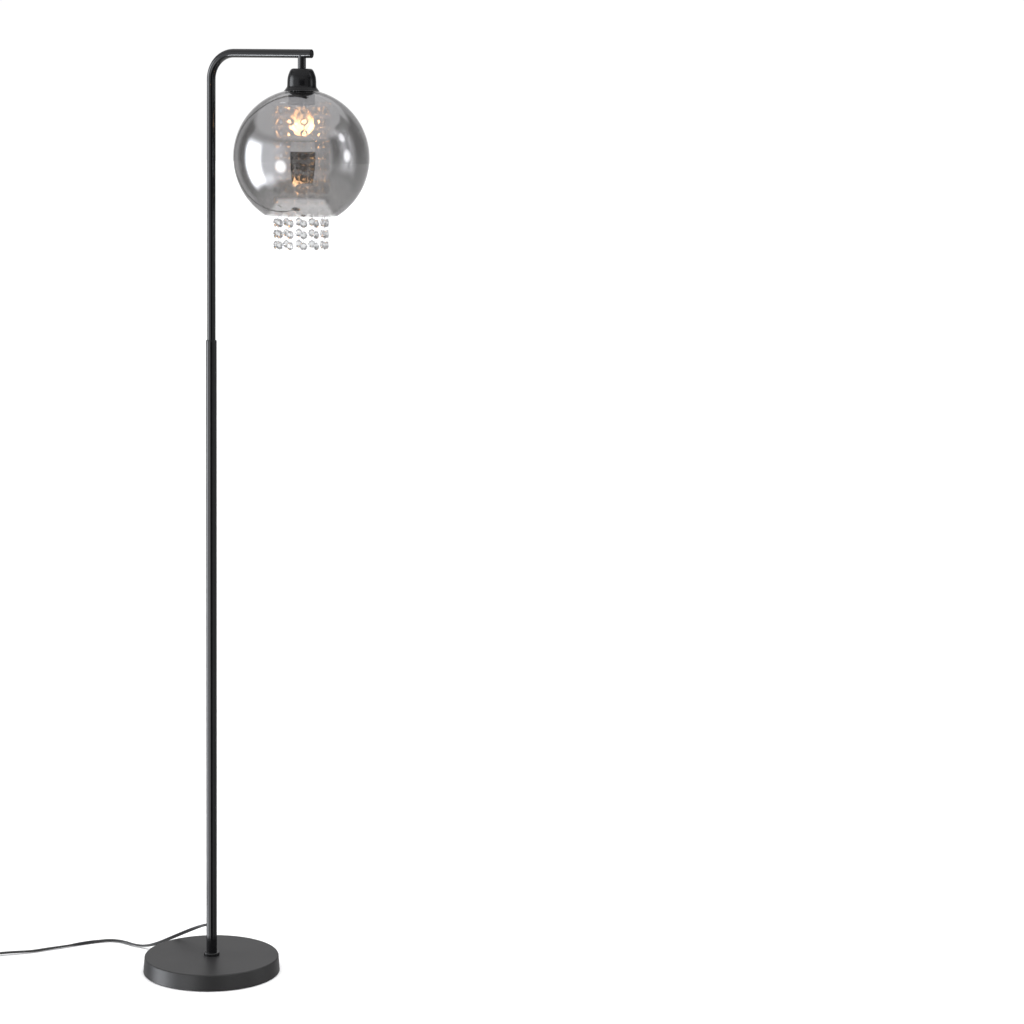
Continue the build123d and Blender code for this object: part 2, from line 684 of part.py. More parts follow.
c_end = coil_centre + side_dir * COIL_R      # the lead leaves the coil here
PLUG_Z = 7.2
plug_start = c_end - lead_dir * 38
with BuildPart() as power_cord:
    with BuildLine() as lead_line:
        FilletPolyline(*lead_points, radius=lead_radii)
    with BuildSketch(Plane(origin=relief_end, x_dir=across, z_dir=exit_dir)):
        Circle(CORD_W / 2)
    sweep()
    print("lead tube length", round(lead_line.wires()[0].length, 1),
          "volume ratio", round(power_cord.part.volume / (lead_line.wires()[0].length * math.pi * CORD_W**2 / 4), 4))
    with BuildSketch(Plane(origin=(s1.X, s1.Y, 5.0), x_dir=side_dir, z_dir=lead_dir)):
        Circle(CORD_W / 2)
    extrude(amount=38)
    with BuildSketch(Plane(origin=(plug_start.X, plug_start.Y, PLUG_Z), x_dir=side_dir, z_dir=lead_dir)):
        Circle(CORD_W / 2)
    extrude(amount=34)
    add(cord_coil.part, mode=Mode.SUBTRACT)
print("lead solids", [round(s.volume) for s in power_cord.part.solids()])
save(power_cord, "power_cord")

# Band that ties the turns together.
with BuildPart() as cord_tie:
    with BuildSketch(Plane(origin=coil_centre, x_dir=lead_dir, z_dir=side_dir)):
        with Locations((COIL_R, (COIL_Z0 + COIL_Z1) / 2)):
            RectangleRounded(COIL_W + 1.9, COIL_Z1 - COIL_Z0 + 1.7, 3.3)
            RectangleRounded(COIL_W + 0.3, COIL_Z1 - COIL_Z0 + 0.3, 2.7, mode=Mode.SUBTRACT)
    revolve(axis=Axis((coil_centre.X, coil_centre.Y, 0), (0, 0, 1)), revolution_arc=14)
save(cord_tie, "cord_tie")

# Foot switch in the lead: a base tray, a cover, and a push button.
mid = (s0 + s1) * 0.5
switch_plane = Plane(origin=(mid.X, mid.Y, 0), x_dir=lead_dir, z_dir=(0, 0, 1))
with BuildPart() as switch_base:
    with BuildSketch(switch_plane):
        RectangleRounded(52, 30, 11)
    extrude(amount=7.5)
    chamfer(switch_base.edges().group_by(Axis.Z)[0], 0.8)
    with BuildSketch(switch_plane.offset(2)):
        RectangleRounded(48, 26, 9)
    extrude(amount=8, mode=Mode.SUBTRACT)
    for side in (1, -1):
        at = mid + lead_dir * (side * 26)
        with BuildSketch(Plane(origin=(at.X, at.Y, 5.0), x_dir=side_dir, z_dir=lead_dir * side)):
            Circle(4.7)
        with BuildSketch(Plane(origin=(at.X, at.Y, 5.0), x_dir=side_dir, z_dir=lead_dir * side).offset(9)):
            Circle(3.7)
        loft()
    with BuildSketch(Plane(origin=(mid.X, mid.Y, 5.0), x_dir=side_dir, z_dir=lead_dir).offset(-30)):
        Circle(2.2)
    extrude(amount=60, mode=Mode.SUBTRACT)
save(switch_base, "switch_base")

with BuildPart() as switch_cover:
    with BuildSketch(switch_plane.offset(7.5)):
        RectangleRounded(52, 30, 11)
    extrude(amount=10.5)
    fillet(switch_cover.edges().group_by(Axis.Z)[-1], 3.2)
    with BuildSketch(switch_plane.offset(7.5)):
        RectangleRounded(48, 26, 9)
    extrude(amount=8.5, mode=Mode.SUBTRACT)
    with BuildSketch(switch_plane.offset(10)):
        Circle(10.4)
    extrude(amount=12, mode=Mode.SUBTRACT)
save(switch_cover, "switch_cover")

with BuildPart() as switch_button:
    with BuildSketch(switch_plane.offset(13.6)):
        Circle(10.0)
    extrude(amount=8)
    fillet(switch_button.edges().group_by(Axis.Z)[-1], 1.8)
    with BuildSketch(switch_plane.offset(13.6)):
        Circle(11.8)
    extrude(amount=2.2)
save(switch_button, "switch_button")

# Two-pin plug, lying flat, with its tapered tail.
plug_plane = Plane(origin=(plug_start.X, plug_start.Y, PLUG_Z), x_dir=-lead_dir, z_dir=(0, 0, 1))
tail_plane = Plane(origin=(plug_start.X, plug_start.Y, PLUG_Z), x_dir=side_dir, z_dir=-lead_dir)
with BuildPart() as plug_body:
    with BuildSketch(plug_plane.offset(-6.9)):
        with BuildLine():
            Polyline((20, -6), (26, -13), (36, -17.6), (55.3, -17.6), (55.3, 17.6), (36, 17.6), (26, 13), (20, 6), (20, -6))
        make_face()
    extrude(amount=13.8)
    fillet(plug_body.edges().filter_by(Axis.Z), 2.5)
    fillet(plug_body.edges().group_by(Axis.Z)[-1], 2.0)
    fillet(plug_body.edges().group_by(Axis.Z)[0], 2.0)
    with BuildSketch(tail_plane):
        Circle(3.75)
    with BuildSketch(tail_plane.offset(21)):
        Circle(5.2)
    loft()
    with BuildSketch(tail_plane.offset(51)):
        with Locations((9.3, 0), (-9.3, 0)):
            Circle(2.05)
    extrude(amount=6, mode=Mode.SUBTRACT)
save(plug_body, "plug_body")

with BuildPart() as plug_pins:
    with BuildSketch(tail_plane.offset(51)):
        with Locations((9.3, 0), (-9.3, 0)):
            Circle(2.0)
    extrude(amount=23.3)
    fillet(plug_pins.faces().sort_by(Axis((0, 0, 0), (-lead_dir.X, -lead_dir.Y, 0)))[-2:].edges(), 1.2)
save(plug_pins, "plug_pins")

print("coil centre", coil_centre, "t1", t1, "s1", s1, "plug start", plug_start, "side", side_dir, "dir", lead_dir)
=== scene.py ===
import json
import math

import bpy
import bmesh
from mathutils import Matrix, Vector


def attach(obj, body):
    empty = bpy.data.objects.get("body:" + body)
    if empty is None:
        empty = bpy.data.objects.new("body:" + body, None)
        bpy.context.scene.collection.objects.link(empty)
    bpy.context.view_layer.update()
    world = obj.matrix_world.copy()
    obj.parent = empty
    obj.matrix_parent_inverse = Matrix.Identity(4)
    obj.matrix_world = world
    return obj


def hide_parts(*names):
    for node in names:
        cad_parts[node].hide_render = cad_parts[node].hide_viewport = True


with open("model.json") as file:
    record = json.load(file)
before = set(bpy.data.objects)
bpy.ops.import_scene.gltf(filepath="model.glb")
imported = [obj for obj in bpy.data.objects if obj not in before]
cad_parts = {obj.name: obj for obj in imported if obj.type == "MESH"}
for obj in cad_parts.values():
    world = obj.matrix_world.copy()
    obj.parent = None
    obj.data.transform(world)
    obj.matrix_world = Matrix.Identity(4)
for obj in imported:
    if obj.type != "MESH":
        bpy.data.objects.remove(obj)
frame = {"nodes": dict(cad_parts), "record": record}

nodes = frame["nodes"]
scene = bpy.context.scene
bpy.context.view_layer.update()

# ------------------------------------------------------------------ camera
AZ, DIST, CAM_Z = math.radians(30.507), 4.8501, 1.5599
YAW, PITCH, ROLL = math.radians(24.212), math.radians(8.385), math.radians(0.889)
FOCAL_PX = 2754.0

forward = Vector((-math.sin(YAW) * math.cos(PITCH), math.cos(YAW) * math.cos(PITCH), -math.sin(PITCH)))
right0 = Vector((math.cos(YAW), math.sin(YAW), 0.0))
up0 = right0.cross(forward)
right = math.cos(ROLL) * right0 + math.sin(ROLL) * up0
up = -math.sin(ROLL) * right0 + math.cos(ROLL) * up0
cam_data = bpy.data.cameras.new("camera")
cam_data.sensor_width = 36.0
cam_data.lens = FOCAL_PX / 1024.0 * 36.0
cam_data.clip_start, cam_data.clip_end = 0.05, 200.0
camera = bpy.data.objects.new("camera", cam_data)
scene.collection.objects.link(camera)
camera.matrix_world = Matrix((
    (right.x, up.x, -forward.x, math.sin(AZ) * DIST),
    (right.y, up.y, -forward.y, -math.cos(AZ) * DIST),
    (right.z, up.z, -forward.z, CAM_Z),
    (0, 0, 0, 1),
))
scene.camera = camera


# ------------------------------------------------------------- mesh helpers
def new_object(name, mesh):
    obj = bpy.data.objects.new(name, mesh)
    scene.collection.objects.link(obj)
    return obj


def mesh_from(name, verts, faces, smooth=True):
    mesh = bpy.data.meshes.new(name)
    mesh.from_pydata([tuple(v) for v in verts], [], faces)
    mesh.validate()
    if smooth:
        mesh.shade_smooth()
    mesh.update()
    return new_object(name, mesh)


# -------------------------------------------------------------- power lead
# The route's points, the same as the CAD route's, in metres.
LEAD_W, LEAD_H = 0.0063, 0.0038
HEADING, TILT = math.radians(120.5), math.radians(18)
exit_dir = Vector((math.cos(HEADING) * math.cos(TILT), math.sin(HEADING) * math.cos(TILT), -math.sin(TILT)))
exit_at = Vector((math.cos(HEADING) * 0.0095, math.sin(HEADING) * 0.0095, 0.085))
relief_end = exit_at + exit_dir * 0.022
lead_dir = Vector((-0.719987, -0.693988, 0.0))
side_dir = Vector((-0.693988, 0.719987, 0.0))
s0 = Vector((-0.4015, -0.113, 0.005))
s1 = s0 + lead_dir * 0.070
t1 = s1 + lead_dir * 0.042
coil_centre = Vector((t1.x, t1.y, 0.0)) + side_dir * 0.035
plug_start = coil_centre + side_dir * 0.035 - lead_dir * 0.038
plug_start.z = 0.0072

lead_route = [
    relief_end,
    relief_end + exit_dir * 0.029,
    Vector((-0.058, 0.0665, 0.0591)),
    Vector((-0.092, 0.063, 0.0431)),
    Vector((-0.121, 0.0565, 0.02835)),
    Vector((-0.150, 0.054, 0.01365)),
    Vector((-0.178, 0.058, 0.0042)),
    Vector((-0.203, 0.059, 0.0034)),
    Vector((-0.2333, 0.0683, 0.00335)),
    Vector((-0.2573, 0.0638, 0.00335)),
    Vector((-0.2757, 0.044, 0.00335)),
    Vector((-0.2931, 0.0197, 0.00335)),
    Vector((-0.3119, -0.0082, 0.00335)),
    Vector((-0.3302, -0.0338, 0.00335)),
    Vector((-0.348, -0.0619, 0.0034)),
    s0 - lead_dir * 0.041,
    s0,
    s1,
    s1 + lead_dir * 0.014,
]


def ease(value, low, high):
    t = min(1.0, max(0.0, (value - low) / (high - low)))
    return t * t * (3 - 2 * t)


# Coil: three turns of the lower layer going inward, then the upper layer
# going outward, five and a half turns in all. Each turn has sixteen points.
PER_TURN = 16
TURNS = 5.5
LANES = (0.0415, 0.0350, 0.0285)
SHRINK = (1 + math.cos(2 * math.pi / PER_TURN)) / 2 * 0.5 + 0.5
for i in range(int(TURNS * PER_TURN) + 1):
    turn = i / PER_TURN
    whole, phase = int(turn), (turn % 1.0) * 360
    if whole < 3:
        shift = ease(phase, 316, 360) if whole < 2 else 0.0
        lane = LANES[whole] + (LANES[min(whole + 1, 2)] - LANES[whole]) * shift
        level = ease(phase, 268, 316) if whole == 2 else 0.0
    else:
        k = whole - 3
        shift = ease(phase, 222, 268) if k < 2 else 0.0
        lane = LANES[2 - k] + (LANES[max(1 - k, 0)] - LANES[2 - k]) * shift
        level = 1.0
    theta = turn * 2 * math.pi
    wobble = 0.00022 * math.sin(2.3 * theta + 1.1 * whole)
    radius = (lane + wobble) / SHRINK
    at_tie = math.exp(-(((theta % (2 * math.pi)) - math.radians(97)) / 0.42) ** 2)
    z = 0.00215 + 0.00065 * at_tie + 0.0040 * level
    lead_route.append(Vector((coil_centre.x, coil_centre.y, z))
                      - side_dir * radius * math.cos(theta) + lead_dir * radius * math.sin(theta))
lead_route += [
    Vector((coil_centre.x, coil_centre.y, 0.0069)) + side_dir * 0.0398 - lead_dir * 0.014,
    plug_start + lead_dir * 0.013,
    plug_start + lead_dir * 0.002,
    plug_start - lead_dir * 0.012,
]

route_curve = bpy.data.curves.new("lead_route", "CURVE")
route_curve.dimensions = "3D"
route_curve.resolution_u = 10
spline = route_curve.splines.new("NURBS")
spline.points.add(len(lead_route) - 1)
for point, place in zip(spline.points, lead_route):
    point.co = (place.x, place.y, place.z, 1.0)
spline.order_u = 3
spline.use_endpoint_u = True
route_object = bpy.data.objects.new("lead_route", route_curve)
scene.collection.objects.link(route_object)
bpy.context.view_layer.update()
route_mesh = bpy.data.meshes.new_from_object(route_object)
lead_line = [Vector(v.co) for v in route_mesh.vertices]
lead_line = [p for i, p in enumerate(lead_line) if i == 0 or (p - lead_line[i - 1]).length > 1e-6]
bpy.data.objects.remove(route_object)
bpy.data.meshes.remove(route_mesh)

lead_at = [0.0]
for p, q in zip(lead_line, lead_line[1:]):
    lead_at.append(lead_at[-1] + (q - p).length)
start_of_flat = 0.42      # from here on the lead lies on its flat side


def lead_turn(s):
    """Turn of the flat side about the line, from lying flat, at length s."""
    if s > start_of_flat:
        return 0.0
    knots = [(0.0, 0.0), (0.05, 18.0), (0.105, 72.0), (0.15, 104.0), (0.20, 150.0), (0.245, 180.0),
             (0.29, 196.0), (0.325, 270.0), (0.36, 344.0), (0.40, 360.0), (0.43, 360.0)]
    for (a, u), (b, v) in zip(knots, knots[1:]):
        if s <= b:
            return math.radians(u + (v - u) * ease(s, a, b))
    return 0.0


# Twin-core section: two round cores side by side with a shallow groove.
core_r, core_off = LEAD_H / 2, LEAD_W / 2 - LEAD_H / 2
profile = []
for k in range(13):
    t = math.radians(-128 + 256 * k / 12)
    profile.append((core_off + core_r * math.cos(t), core_r * math.sin(t)))
profile.append((0.0, core_r * 0.66))
for k in range(13):
    t = math.radians(52 + 256 * k / 12)
    profile.append((-core_off + core_r * math.cos(t), core_r * math.sin(t)))
profile.append((0.0, -core_r * 0.66))

verts, faces = [], []
count = len(profile)
for i, p in enumerate(lead_line):
    a = lead_line[max(i - 1, 0)]
    b = lead_line[min(i + 1, len(lead_line) - 1)]
    along = (b - a).normalized()
    flat = Vector((along.y, -along.x, 0.0)).normalized()
    normal = along.cross(flat).normalized()
    if normal.z < 0:
        normal = -normal
    turn = lead_turn(lead_at[i])
    u = flat * math.cos(turn) + normal * math.sin(turn)
    v = along.cross(u)
    for x, y in profile:
        verts.append(p + u * x + v * y)
    if i:
        base = (i - 1) * count
        for k in range(count):
            m = (k + 1) % count
            faces.append((base + k, base + m, base + count + m, base + count + k))
faces.append(tuple(reversed(range(count))))
faces.append(tuple(range((len(lead_line) - 1) * count, len(lead_line) * count)))
lead = mesh_from("power_lead", verts, faces)
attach(lead, "lamp")
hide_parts("power_cord", "cord_coil")

# ----------------------------------------------------------------- floor
floor_mesh = bpy.data.meshes.new("floor")
floor_mesh.from_pydata([(-60, -60, 0), (60, -60, 0), (60, 60, 0), (-60, 60, 0)], [], [(0, 1, 2, 3)])
floor = new_object("floor", floor_mesh)
floor.visible_glossy = False


# ---------------------------------------------------------- node helpers
class Graph:
    """Short calls that add nodes to one tree."""

    def __init__(self, tree):
        self.tree = tree
        tree.nodes.clear()

    def node(self, kind, **settings):
        n = self.tree.nodes.new(kind)
        for key, value in settings.items():
            setattr(n, key, value)
        return n

    def put(self, socket, value):
        if hasattr(value, "is_output") or isinstance(value, bpy.types.NodeSocket):
            self.tree.links.new(value, socket)
        else:
            socket.default_value = value

    def math(self, op, a, b=None, c=None, clamp=False):
        n = self.node("ShaderNodeMath", operation=op, use_clamp=clamp)
        for socket, value in zip(n.inputs, (a, b, c)):
            if value is not None:
                self.put(socket, value)
        return n.outputs[0]

    def dot(self, a, b):
        n = self.node("ShaderNodeVectorMath", operation="DOT_PRODUCT")
        self.put(n.inputs[0], a)
        self.put(n.inputs[1], b)
        return n.outputs["Value"]

    def span(self, value, a, b, to_a=0.0, to_b=1.0, smooth=False):
        n = self.node("ShaderNodeMapRange", interpolation_type="SMOOTHSTEP" if smooth else "LINEAR", clamp=True)
        for key, item in (("Value", value), ("From Min", a), ("From Max", b), ("To Min", to_a), ("To Max", to_b)):
            self.put(n.inputs[key], item)
        return n.outputs["Result"]

    def mix(self, factor, a, b, mode="MIX"):
        n = self.node("ShaderNodeMix", data_type="RGBA", blend_type=mode)
        self.put(n.inputs[0], factor)
        self.put(n.inputs[6], a)
        self.put(n.inputs[7], b)
        return n.outputs[2]

    def noise(self, where, scale, detail=3.0, rough=0.55, stretch=None):
        if stretch:
            m = self.node("ShaderNodeMapping")
            self.put(m.inputs["Vector"], where)
            m.inputs["Scale"].default_value = stretch
            where = m.outputs[0]
        n = self.node("ShaderNodeTexNoise")
        self.put(n.inputs["Vector"], where)
        n.inputs["Scale"].default_value = scale
        n.inputs["Detail"].default_value = detail
        n.inputs["Roughness"].default_value = rough
        return n.outputs[0]

    def bump(self, height, strength, distance, under=None):
        n = self.node("ShaderNodeBump")
        n.inputs["Strength"].default_value = strength
        n.inputs["Distance"].default_value = distance
        self.put(n.inputs["Height"], height)
        if under is not None:
            self.put(n.inputs["Normal"], under)
        return n.outputs[0]


def rgb(r, g, b):
    return (r, g, b, 1.0)


# ------------------------------------------------------------------ light
world = bpy.data.worlds.new("studio")
scene.world = world
world.use_nodes = True
g = Graph(world.node_tree)
direction = g.node("ShaderNodeTexCoord").outputs["Generated"]
split = g.node("ShaderNodeSeparateXYZ")
g.put(split.inputs[0], direction)
height = g.math("ARCSINE", split.outputs[2])


def panel(azimuth, elevation, half_az, half_el, soft_az, soft_el, skew=0.0):
    """How far a direction lies inside a soft-edged panel of the studio; angles in degrees."""
    a = math.radians(azimuth)
    ahead = g.dot(direction, (math.cos(a), math.sin(a), 0.0))
    aside = g.dot(direction, (-math.sin(a), math.cos(a), 0.0))
    turn = g.math("ARCTAN2", aside, ahead)
    rise = g.math("SUBTRACT", height, math.radians(elevation))
    if skew:
        turn = g.math("MULTIPLY_ADD", rise, skew, turn)
    wide = g.span(g.math("ABSOLUTE", turn), math.radians(half_az - soft_az), math.radians(half_az + soft_az), 1.0, 0.0, True)
    tall = g.span(g.math("ABSOLUTE", rise), math.radians(half_el - soft_el), math.radians(half_el + soft_el), 1.0, 0.0, True)
    return g.math("MULTIPLY", wide, tall)


def scaled(mask, r, gr, b):
    n = g.node("ShaderNodeVectorMath", operation="SCALE")
    n.inputs[0].default_value = (r, gr, b)
    g.put(n.inputs["Scale"], mask)
    return n.outputs[0]


def summed(a, b):
    n = g.node("ShaderNodeVectorMath", operation="ADD")
    g.put(n.inputs[0], a)
    g.put(n.inputs[1], b)
    return n.outputs[0]


def spot(azimuth, elevation, radius, soft):
    """The same for a round lamp."""
    a, e = math.radians(azimuth), math.radians(elevation)
    near = g.dot(direction, (math.cos(a) * math.cos(e), math.sin(a) * math.cos(e), math.sin(e)))
    return g.span(near, math.cos(math.radians(radius + soft)), math.cos(math.radians(max(radius - soft, 0.0))), 0.0, 1.0, True)


# ceiling, a grey front wall, a dimmer rest of the room and the white floor below
ceiling = g.span(height, math.radians(27), math.radians(37), 0.0, 1.0, True)
arch = g.math("MULTIPLY_ADD", panel(41, 31, 23, 12, 6, 2.0), -0.66, 1.0)
ceiling = g.math("MULTIPLY", ceiling, arch)
studio = scaled(ceiling, 0.97, 0.97, 0.98)
studio = summed(studio, scaled(panel(-61, 0, 180, 34, 1, 6), 0.09, 0.09, 0.092))
studio = summed(studio, scaled(panel(-88, -2, 80, 34, 5, 5), 0.52, 0.525, 0.53))
studio = summed(studio, scaled(panel(124, 0, 40, 34, 9, 8), 0.50, 0.50, 0.505))
studio = summed(studio, scaled(panel(38, -22, 44, 20, 8, 14), 0.24, 0.24, 0.24))
studio = summed(studio, scaled(g.span(height, math.radians(-20), math.radians(-52), 0.0, 1.0, True), 0.46, 0.455, 0.45))
FRONT, SIDE = math.radians(-61.3), math.radians(28.7)
fall = g.math("MAXIMUM", g.math("MULTIPLY", split.outputs[2], -1.0), 0.02)
along = g.math("DIVIDE", g.dot(direction, (math.cos(FRONT), math.sin(FRONT), 0.0)), fall)
beside = g.math("DIVIDE", g.dot(direction, (math.cos(SIDE), math.sin(SIDE), 0.0)), fall)
edge = g.math("MULTIPLY_ADD", g.math("MULTIPLY", beside, beside), 0.75, along)
table = g.math("MULTIPLY", g.span(edge, 0.22, 0.42, 1.0, 0.0, True),
               g.span(g.math("ABSOLUTE", beside), 0.50, 0.62, 1.0, 0.0, True))
table = g.math("MULTIPLY", table, g.span(along, -3.2, -1.8, 0.0, 1.0, True))
studio = summed(studio, scaled(table, 0.95, 0.95, 0.94))
# softboxes to the left: a bright one with a broad apron, and a round one
studio = summed(studio, scaled(panel(-128, -7, 40, 29, 18, 6), 0.75, 0.77, 0.82))
studio = summed(studio, scaled(panel(-153, -8, 16.5, 24, 7, 7), 6.0, 6.2, 6.5))
studio = summed(studio, scaled(panel(-128, -33, 14, 9, 9, 6), 0.9, 0.92, 0.98))
studio = summed(studio, scaled(spot(-97.5, -13.5, 6.5, 6.0), 3.3, 3.3, 3.3))
# lamps to the right
studio = summed(studio, scaled(panel(23, 10, 12, 24, 9, 9), 0.42, 0.43, 0.45))
studio = summed(studio, scaled(spot(21, 27, 4.0, 3.5), 2.0, 2.0, 2.05))
studio = summed(studio, scaled(spot(23, 3, 5.5, 4.5), 2.6, 2.6, 2.65))
# light strip over the dark screen in front
studio = summed(studio, scaled(panel(-59, 19, 21, 8, 1.5, 1.5), 0.34, 0.34, 0.34))
dark = g.math("SUBTRACT", 1.0, panel(-59, -16, 21, 27, 0.8, 0.8))
n = g.node("ShaderNodeVectorMath", operation="SCALE")
g.put(n.inputs[0], studio)
g.put(n.inputs["Scale"], g.math("MULTIPLY_ADD", dark, 0.95, 0.05))
studio = n.outputs[0]
path = g.node("ShaderNodeLightPath")
clear = g.mix(0.86, rgb(0.96, 0.96, 0.96), studio)
sky = g.mix(path.outputs["Is Transmission Ray"], studio, clear)
sky = g.mix(path.outputs["Is Camera Ray"], sky, rgb(1.02, 1.02, 1.02))
background = g.node("ShaderNodeBackground")
g.put(background.inputs["Color"], sky)
out = g.node("ShaderNodeOutputWorld")
g.put(out.inputs["Surface"], background.outputs[0])

sun_data = bpy.data.lights.new("overhead", "SUN")
sun_data.energy = 2.0
sun_data.angle = math.radians(70)
sun = bpy.data.objects.new("overhead", sun_data)
scene.collection.objects.link(sun)
sun.matrix_world = Matrix.Rotation(math.radians(12), 4, "Y") @ Matrix.Rotation(math.radians(8), 4, "X")
sun.visible_glossy = False
sun.visible_transmission = False

# a low softbox that only draws the streak along the underside of the arm
ahead = Vector((-0.48, -0.5475, -0.684)).normalized()
low_data = bpy.data.lights.new("low_softbox", "AREA")
low_data.shape = "RECTANGLE"
low_data.size, low_data.size_y = 0.42, 0.42
low_data.energy = 11.0
low_data.color = (0.93, 0.96, 1.0)
low_box = bpy.data.objects.new("low_softbox", low_data)
scene.collection.objects.link(low_box)
low_box.location = Vector((0.10, 0.0, 1.64)) + ahead * 2.0
low_box.rotation_mode = "QUATERNION"
low_box.rotation_quaternion = ahead.to_track_quat("Z", "Y")
low_box.visible_camera = False
arm_pieces = bpy.data.collections.new("arm_pieces")
for name in ("upper_tube", "arm_end_cap", "stem_tube"):
    arm_pieces.objects.link(nodes[name])
low_box.light_linking.receiver_collection = arm_pieces

scene.view_settings.view_transform = "Standard"
scene.view_settings.look = "None"
scene.cycles.max_bounces = 20
scene.cycles.transmission_bounces = 14
scene.cycles.glossy_bounces = 6
scene.cycles.transparent_max_bounces = 40
scene.cycles.sample_clamp_indirect = 12.0


# -------------------------------------------------------------- materials
def surface(name, tone, tone2, patch, rough, rough2, grain, relief, depth, extra=None, stretch=None, **sockets):
    """A finish whose colour drifts between two tones and whose roughness and relief follow finer noise."""
    m = bpy.data.materials.new(name)
    m.use_nodes = True
    q = Graph(m.node_tree)
    where = q.node("ShaderNodeTexCoord").outputs["Object"]
    p = q.node("ShaderNodeBsdfPrincipled")
    drift = q.span(q.noise(where, patch, 4.0, 0.6, stretch), 0.35, 0.65)
    q.put(p.inputs["Base Color"], q.mix(drift, tone, tone2))
    fine = q.noise(where, grain, 3.0, 0.5, stretch)
    q.put(p.inputs["Roughness"], q.span(fine, 0.3, 0.7, rough, rough2))
    q.put(p.inputs["Normal"], q.bump(fine, relief, depth))
    for key, value in sockets.items():
        p.inputs[key.replace("_", " ")].default_value = value
    end = q.node("ShaderNodeOutputMaterial")
    q.put(end.inputs["Surface"], p.outputs[0])
    if extra:
        extra(q, p, where, end)
    return m


tube_paint = surface("tube_paint", rgb(0.0032, 0.0032, 0.0037), rgb(0.0044, 0.0044, 0.0050), 9, 0.125, 0.155, 420, 0.010, 0.0002,
                     IOR=1.47)
cup_paint = surface("cup_paint", rgb(0.0034, 0.0034, 0.0042), rgb(0.0048, 0.0048, 0.0058), 30, 0.21, 0.25, 600, 0.012, 0.0002, IOR=1.34)
base_powder = surface("base_powder", rgb(0.0165, 0.0162, 0.0165), rgb(0.0205, 0.0202, 0.0205), 14, 0.38, 0.45, 1500, 0.08, 0.0002, IOR=1.42)
collar_gloss = surface("collar_gloss", rgb(0.006, 0.006, 0.0065), rgb(0.008, 0.008, 0.0085), 40, 0.12, 0.2, 600, 0.015, 0.0002, IOR=1.5)
iron = surface("iron", rgb(0.045, 0.043, 0.042), rgb(0.10, 0.085, 0.075), 55, 0.55, 0.8, 900, 0.55, 0.0006, Metallic=0.6)
foam = surface("foam", rgb(0.012, 0.012, 0.012), rgb(0.024, 0.024, 0.024), 120, 0.85, 1.0, 2600, 0.8, 0.0004)
zinc_steel = surface("zinc_steel", rgb(0.50, 0.50, 0.49), rgb(0.66, 0.655, 0.62), 260, 0.26, 0.42, 1500, 0.12, 0.0002, Metallic=1.0)
chrome_trim = surface("chrome_trim", rgb(0.66, 0.655, 0.66), rgb(0.80, 0.79, 0.79), 300, 0.08, 0.2, 1400, 0.05, 0.0001, Metallic=1.0)
holder_plastic = surface("holder_plastic", rgb(0.018, 0.018, 0.018), rgb(0.026, 0.026, 0.026), 160, 0.38, 0.52, 1700, 0.15, 0.0002)
holder_brass = surface("holder_brass", rgb(0.62, 0.44, 0.17), rgb(0.74, 0.56, 0.25), 180, 0.24, 0.4, 1300, 0.12, 0.0002, Metallic=1.0)
cap_aluminium = surface("cap_aluminium", rgb(0.62, 0.62, 0.625), rgb(0.74, 0.74, 0.745), 240, 0.24, 0.36, 1500, 0.12, 0.0002, Metallic=1.0)
lead_pvc = surface("lead_pvc", rgb(0.014, 0.014, 0.0145), rgb(0.020, 0.020, 0.0205), 120, 0.34, 0.46, 1500, 0.12, 0.0002)
switch_plastic = surface("switch_plastic", rgb(0.012, 0.012, 0.0125), rgb(0.017, 0.017, 0.0175), 160, 0.24, 0.34, 1400, 0.08, 0.0002)
plug_plastic = surface("plug_plastic", rgb(0.014, 0.014, 0.0145), rgb(0.022, 0.022, 0.0225), 150, 0.42, 0.58, 1700, 0.2, 0.0003)


def hooks(q, p, where, end):
    cells = q.node("ShaderNodeTexVoronoi")
    q.put(cells.inputs["Vector"], where)
    cells.inputs["Scale"].default_value = 1500
    q.put(p.inputs["Normal"], q.bump(cells.outputs["Distance"], 0.9, 0.0005))


tie_band = surface("tie_band", rgb(0.022, 0.022, 0.022), rgb(0.045, 0.045, 0.045), 900, 0.8, 0.95, 1800, 0.5, 0.0003, extra=hooks)


def see_through(name, build):
    m = bpy.data.materials.new(name)
    m.use_nodes = True
    q = Graph(m.node_tree)
    where = q.node("ShaderNodeTexCoord").outputs["Object"]
    end = q.node("ShaderNodeOutputMaterial")
    build(q, where, end)
    return m


